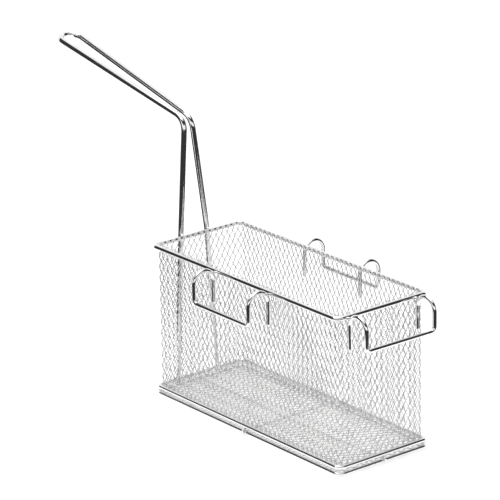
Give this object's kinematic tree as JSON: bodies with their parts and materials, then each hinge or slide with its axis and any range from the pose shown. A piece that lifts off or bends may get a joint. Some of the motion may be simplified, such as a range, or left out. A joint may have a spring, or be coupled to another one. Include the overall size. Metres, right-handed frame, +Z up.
{
  "type": "deep fryer basket",
  "caption": "Rectangular wire mesh fryer basket with a long bent wire handle and hook-over hanging brackets on its sides and front.",
  "frame": {"origin": "middle of the base, on the surface that the basket stands on", "axes": "+Z up; +X along the basket, away from the handle; +Y across it, towards the right-hand bracket"},
  "size_m": [0.5439, 0.1708, 0.3324],
  "materials": {
    "frame_wire": "bright plated steel wire",
    "handle_wire": "bright plated steel wire",
    "bracket_wire": "bright plated steel wire",
    "mesh": "bright plated woven wire"
  },
  "bodies": {
    "root": {"top_rim": "frame_wire", "upper_base_frame": "frame_wire", "lower_base_frame": "frame_wire", "cross_brace": "frame_wire", "lengthwise_brace": "frame_wire", "handle": "handle_wire", "left_bracket": "bracket_wire", "right_bracket": "bracket_wire", "front_bracket": "bracket_wire", "mesh_wall_left": "mesh", "mesh_wall_right": "mesh", "mesh_wall_front": "mesh", "mesh_wall_back": "mesh", "mesh_floor": "mesh"}
  },
  "joints": []
}
